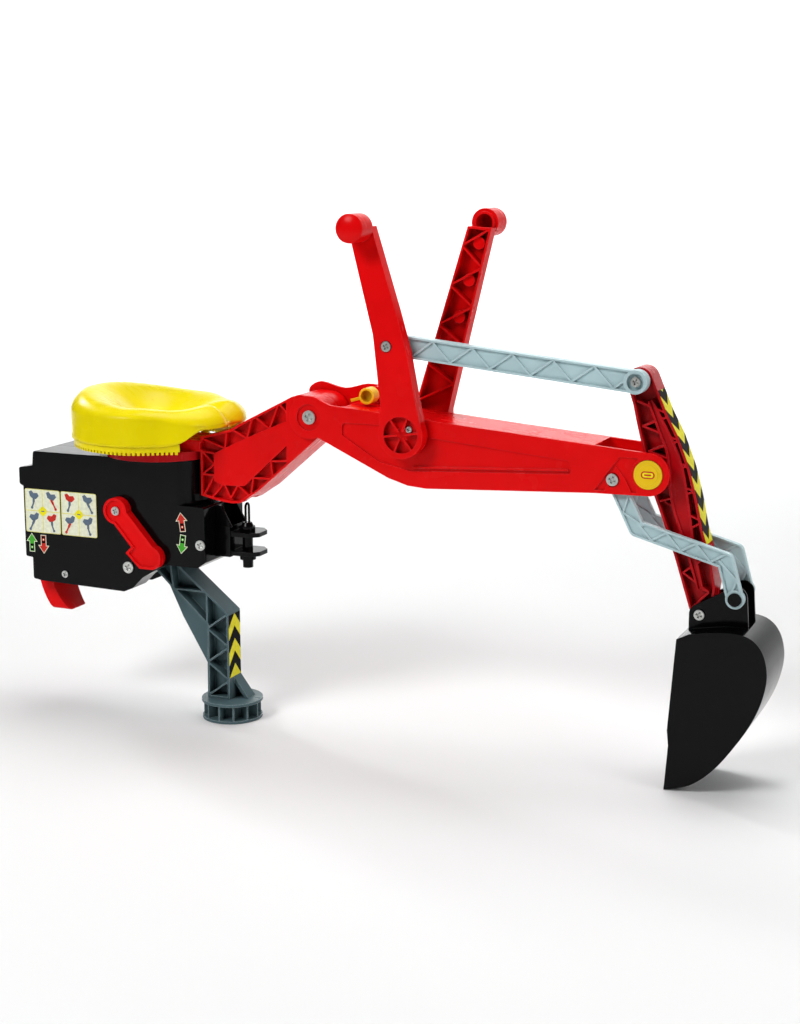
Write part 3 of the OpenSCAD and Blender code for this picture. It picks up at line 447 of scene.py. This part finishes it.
def make_seat():
    bm = bmesh.new()
    seat_shell(bm)
    seat_band(bm)
    for a in POST_ANGLES:
        turn = math.radians(a)
        x = SLEW_X + POST_REACH * math.cos(turn)
        y = POST_REACH * math.sin(turn)
        top = seat_z(a, POST_REACH / SEAT_RADIUS - 0.05) - SEAT_SHELL / 2
        middle = Matrix.Translation(Vector((x, y, (TABLE_TOP + top) / 2)) * MM)
        bmesh.ops.create_cone(bm, cap_ends=True, segments=32, radius1=POST_RADIUS * MM,
                              radius2=POST_RADIUS * MM, depth=(top - TABLE_TOP) * MM, matrix=middle)
    bmesh.ops.recalc_face_normals(bm, faces=bm.faces)
    smooth_by_angle(bm, SEAT_SMOOTH_ANGLE)
    finish_piece(add_object("seat_pan", bm, [YELLOW]), "seat")


make_seat()


# ------------------------------------------------------------------ labels


# Lengths are in mm. The lowest layer's thickness, and how far each layer stands above the last
FILM = 0.25
LAYER_STEP = 0.05
# The outer face of a tape lies this far off the part below it, and the tape is this thick
TAPE_GAP = 0.4
TAPE = 0.35


def prism(bm, outline, place, depth, material):
    """A thin plate with this outline. place turns (u, v, height) into a point, in mm."""
    low, high = [[bm.verts.new(place(u, v, height) * MM) for u, v in outline]
                 for height in (0, depth)]
    faces = [bm.faces.new(low), bm.faces.new(high)] + ring_faces(bm, low, high)
    for face in faces:
        face.material_index = material


def oblong(cx, cz, w, h, r):
    """Rounded rectangle."""
    steps = 5
    points = []
    for k, (sx, sz) in enumerate([(1, 1), (-1, 1), (-1, -1), (1, -1)]):
        x = cx + sx * (w / 2 - r)
        z = cz + sz * (h / 2 - r)
        for i in range(steps + 1):
            a = math.radians(90 * k + 90 * i / steps)
            points.append((x + r * math.cos(a), z + r * math.sin(a)))
    return points


def disc(cx, cz, r, steps):
    turns = [2 * math.pi * i / steps for i in range(steps)]
    return [(cx + r * math.cos(a), cz + r * math.sin(a)) for a in turns]


def stroke(a, b, w):
    """A bar from a to b, w wide."""
    du, dv = b[0] - a[0], b[1] - a[1]
    n = math.hypot(du, dv)
    pu, pv = -dv / n * w / 2, du / n * w / 2
    corners = [(a, 1), (a, -1), (b, -1), (b, 1)]
    return [(end[0] + side * pu, end[1] + side * pv) for end, side in corners]


def label(name, node, materials, shapes, place):
    """shapes are (material index, layer, outline). A higher layer stands further out."""
    bm = bmesh.new()
    for material, layer, outline in shapes:
        prism(bm, outline, place, FILM + LAYER_STEP * layer, material)
    bmesh.ops.recalc_face_normals(bm, faces=bm.faces)
    finish_piece(add_object(name, bm, materials), node)


# Where the labels lie on the side of the housing, in mm
HOUSING_FACE = -54
PANEL_W = 56.6
PANEL_H = 61
PANEL_Z = 276.5
REAR_PANEL_X = -261.2
FRONT_PANEL_X = -202.8
# Each arrow's place, its turn from upright in degrees and its ink
GREEN_ARROW, RED_ARROW = 2, 3
ARROWS = [
    (-281, 231, 0, GREEN_ARROW),
    (-262, 230, 180, RED_ARROW),
    (-42, 279, 8, RED_ARROW),
    (-42, 249, 172, GREEN_ARROW),
]


def on_housing(u, v, height):
    return Vector((u, HOUSING_FACE - height, v))


def digger_sign(cx, cz, flip, arm_turn, head, arm):
    """A plain little picture of a machine with an arm, mirrored where flip is -1.
    head and arm are material indices."""
    grow = 1.2

    def at(points):
        return [(cx + flip * grow * u, cz + grow * v) for u, v in points]

    cab = at([(-6.5, 8.5), (-3, 10), (0, 7), (5, 7.5), (7, 4), (3, 0), (-2, 1), (-5, 3)])
    elbow = (1 + 2 * arm_turn, -4)
    hand = (1 + 6 * arm_turn, -10)
    joints = at([(0, 1), elbow, hand])
    return [
        (head, 2, cab),
        (arm, 2, stroke(joints[0], joints[1], 3.6)),
        (arm, 3, stroke(joints[1], joints[2], 2.4)),
        (arm, 4, disc(*joints[2], 2, 10)),
    ]


def guide_panel(cx, red_head, red_arm):
    """A cream panel with a cross of pale lines, a yellow spot with a bar and four small pictures.
    red_head and red_arm say which picture has its head red, and which its arm."""
    cream, pale, yellow, blue, red = range(5)
    cz, w, h = PANEL_Z, PANEL_W, PANEL_H
    shapes = [
        (pale, 0, oblong(cx, cz, w, h, 2.5)),
        (cream, 1, oblong(cx, cz, w - 1.6, h - 1.6, 2)),
        (pale, 2, stroke((cx - w / 2 + 1, cz), (cx + w / 2 - 1, cz), 1.2)),
        (pale, 2.2, stroke((cx, cz - h / 2 + 1), (cx, cz + h / 2 - 1), 1.2)),
        (yellow, 2.6, oblong(cx, cz, 13, 8, 3.5)),
        (yellow, 2.8, oblong(cx, cz, 8, 13, 3.5)),
        (blue, 3.4, oblong(cx, cz, 5, 1.6, 0.7)),
    ]
    corners = [(-1, 1), (1, 1), (-1, -1), (1, -1)]
    for k, (i, j) in enumerate(corners):
        head = red if k == red_head else blue
        arm = red if k == red_arm else blue
        arm_turn = 0.8 if i * j > 0 else -0.6
        shapes += digger_sign(cx + i * w / 4, cz + j * h / 4 + 1, j, arm_turn, head, arm)
    return shapes


label("guide_panels", "guide_sticker",
      [CREAM_INK, PALE_YELLOW_INK, YELLOW_INK, BLUE_GREY_INK, RED_INK],
      guide_panel(REAR_PANEL_X, 3, 1) + guide_panel(FRONT_PANEL_X, 0, 2), on_housing)


def arrow_sign(cx, cz, turn, ink):
    """An arrow with a full head and a black field in its shaft that holds a small ring."""
    pale, black = 0, 1
    spin = Matrix.Rotation(math.radians(turn), 2)

    def at(points):
        return [tuple(Vector((cx, cz)) + spin @ Vector(p)) for p in points]

    def outline(grow):
        shaft = 4.4 + grow
        neck = 1.6 - grow
        head = 9 + 2 * grow
        return at([(-shaft, -13 - grow), (shaft, -13 - grow), (shaft, neck), (head, neck),
                   (0, 13.4 + 1.3 * grow), (-head, neck), (-shaft, neck)])

    ring_x, ring_z = at([(0, -6.5)])[0]
    return [
        (pale, 0, outline(0)),
        (ink, 1, outline(-0.9)),
        (black, 2, at([(-2.9, -11.5), (2.9, -11.5), (2.9, -1.5), (-2.9, -1.5)])),
        (ink, 3, disc(ring_x, ring_z, 2.1, 12)),
        (pale, 4, disc(ring_x, ring_z, 1.1, 12)),
    ]


label("direction_arrows", "arrow_stickers",
      [CREAM_INK, BLACK_INK, GREEN_INK, RED_INK],
      [shape for arrow in ARROWS for shape in arrow_sign(*arrow)], on_housing)


# The mark in the middle of the near yellow cap, in mm
CAP_FACE = -38.5
CAP_X = 588
CAP_Z = 385


def on_cap(u, v, height):
    return Vector((u, CAP_FACE - height, v))


def cap_mark():
    """A plain red ring in the shape of an oval, with a red bar in it."""
    red, yellow = 0, 1
    sizes = [(red, 17, 9, 4.4), (yellow, 13.6, 5.8, 2.8), (red, 9, 2, 0.9)]
    return [(ink, layer, oblong(CAP_X, CAP_Z, w, h, r))
            for layer, (ink, w, h, r) in enumerate(sizes)]


label("cap_mark", "end_cap_near", [RED_INK, YELLOW_INK], cap_mark(), on_cap)


def hazard_tape(name, node, place, length, half, pitch, rise, first_black):
    """Yellow tape with black chevrons. half is half its width, rise is the height of a
    chevron, and a pitch holds a yellow and a black band. place turns (distance along, across,
    height) into a point, in mm. The rows of the mesh follow the chevrons, so that their edges
    stay straight."""
    bm = bmesh.new()
    columns = [half * k / 6 for k in range(-6, 7)]
    per_band = 6
    first = math.floor(-abs(rise) / pitch) * 2 * per_band
    last = math.ceil((length + abs(rise)) / pitch) * 2 * per_band
    rows = []
    for row in range(first, last + 1):
        start = pitch / 2 * row / per_band
        line = []
        for y in columns:
            along = min(max(start + rise * (1 - abs(y) / half), 0), length)
            line.append(bm.verts.new(place(along, y, 0) * MM))
        rows.append(line)
    for k, (low, high) in enumerate(zip(rows, rows[1:])):
        band = (first + k) // per_band
        for i in range(len(columns) - 1):
            face = bm.faces.new([low[i], low[i + 1], high[i + 1], high[i]])
            face.material_index = (band + first_black) % 2
    bmesh.ops.dissolve_degenerate(bm, dist=TINY_EDGE, edges=bm.edges)
    bmesh.ops.remove_doubles(bm, verts=bm.verts, dist=TINY_EDGE)
    bmesh.ops.solidify(bm, geom=bm.faces[:], thickness=TAPE * MM)
    bmesh.ops.recalc_face_normals(bm, faces=bm.faces)
    finish_piece(add_object(name, bm, [YELLOW_INK, BLACK_INK]), node)


# The front of the leg and the lower end of its tape, in mm
LEG_FRONT = 5
LEG_TAPE_BOTTOM = 58


def on_leg(along, across, height):
    return Vector((LEG_FRONT + TAPE_GAP + height, across, LEG_TAPE_BOTTOM + along))


# The line of the dipper's front under its tape as (x, z) in mm, from the bottom up
DIPPER_FRONT = [
    (656.2, 301.2), (651, 318), (643, 355), (633, 391), (618, 429), (603, 457), (591.6, 483.4),
]
DIPPER_LENGTHS = [math.dist(a, b) for a, b in zip(DIPPER_FRONT, DIPPER_FRONT[1:])]


def on_dipper(along, across, height):
    """The point this far up the bent front of the dipper."""
    for a, b, n in zip(DIPPER_FRONT, DIPPER_FRONT[1:], DIPPER_LENGTHS):
        if along <= n + 1e-6 or b == DIPPER_FRONT[-1]:
            break
        along -= n
    run, rise = (b[0] - a[0]) / n, (b[1] - a[1]) / n
    off = TAPE_GAP + height
    x = a[0] + run * along + rise * off
    z = a[1] + rise * along - run * off
    return Vector((x, across, z))


hazard_tape("leg_hazard_tape", "leg_sticker", on_leg,
            length=88, half=16, pitch=35.4, rise=18, first_black=1)
hazard_tape("dipper_hazard_tape", "dipper_sticker", on_dipper,
            length=sum(DIPPER_LENGTHS), half=15, pitch=34, rise=-13, first_black=0)


# ------------------------------------------------------------------ stage, light and camera


def area_light(name, place, target, size, power):
    """A rectangular light that faces the target. Lengths are in metres, power in watts."""
    data = bpy.data.lights.new(name, "AREA")
    data.shape = "RECTANGLE"
    data.size, data.size_y = size
    data.energy = power
    light = bpy.data.objects.new(name, data)
    light.location = place
    light.rotation_mode = "QUATERNION"
    light.rotation_quaternion = (Vector(target) - Vector(place)).to_track_quat("-Z", "Y")
    bpy.context.scene.collection.objects.link(light)


def make_floor():
    """A pale floor that bends up into a backdrop far behind the object, in metres."""
    half_width, front, back, radius, height = 9, -7, 6, 3, 7
    bm = bmesh.new()
    line = [(front, 0.0), (back, 0.0)]
    line += [(back + radius * math.sin(a), radius * (1 - math.cos(a)))
             for a in (math.radians(9 * i) for i in range(1, 11))]
    line.append((back + radius, height))
    rows = [[bm.verts.new((x, y, z)) for x in (-half_width, half_width)] for y, z in line]
    for low, high in zip(rows, rows[1:]):
        bm.faces.new([low[0], low[1], high[1], high[0]]).smooth = True
    s = Surface("studio floor")
    cloud = s.noise(2, 3)
    s.set(Base_Color=s.mix(cloud, rgb(0.86, 0.87, 0.87), rgb(0.89, 0.89, 0.89)), Roughness=0.75)
    add_object("floor", bm, [s.material])


def make_world():
    """A pale sky that fades to dark near the horizon."""
    world = bpy.data.worlds.new("studio")
    world.use_nodes = True
    tree = world.node_tree
    background = tree.nodes["Background"]
    split = tree.nodes.new("ShaderNodeSeparateXYZ")
    tree.links.new(tree.nodes.new("ShaderNodeTexCoord").outputs["Generated"], split.inputs[0])
    ramp = tree.nodes.new("ShaderNodeMapRange")
    ramp.interpolation_type = "SMOOTHSTEP"
    tree.links.new(split.outputs["Z"], ramp.inputs["Value"])
    for key, value in {"From Min": 0.1, "From Max": 0.7, "To Min": 0.08, "To Max": 1.2}.items():
        ramp.inputs[key].default_value = value
    tree.links.new(ramp.outputs["Result"], background.inputs["Strength"])
    bpy.context.scene.world = world


def make_camera():
    """A camera on the near side, towards the bucket, that looks a little down on the object."""
    down, heading = 11.474, 23.143
    data = bpy.data.cameras.new("camera")
    data.lens = 62.77
    data.sensor_width = 36
    camera = bpy.data.objects.new("camera", data)
    camera.location = (1.139, -2.078, 0.765)
    camera.rotation_euler = (math.radians(90 - down), 0, math.radians(heading))
    bpy.context.scene.collection.objects.link(camera)
    bpy.context.scene.camera = camera


make_floor()
make_world()
make_camera()
middle = (0.25, 0, 0.35)
area_light("key", (-1.0, -2.4, 2.5), middle, (1.4, 1.0), 70)
area_light("top", (0.4, 0.6, 2.6), middle, (2.2, 1.4), 42)
area_light("side", (2.6, -0.6, 1.2), middle, (1.0, 1.4), 16)
for x in (-6.5, 0.5):
    area_light("backdrop light", (x, 3.6, 4.5), (-3, 8.4, 1.6), (2.5, 1.5), 420)
bpy.context.scene.view_settings.view_transform = "Standard"
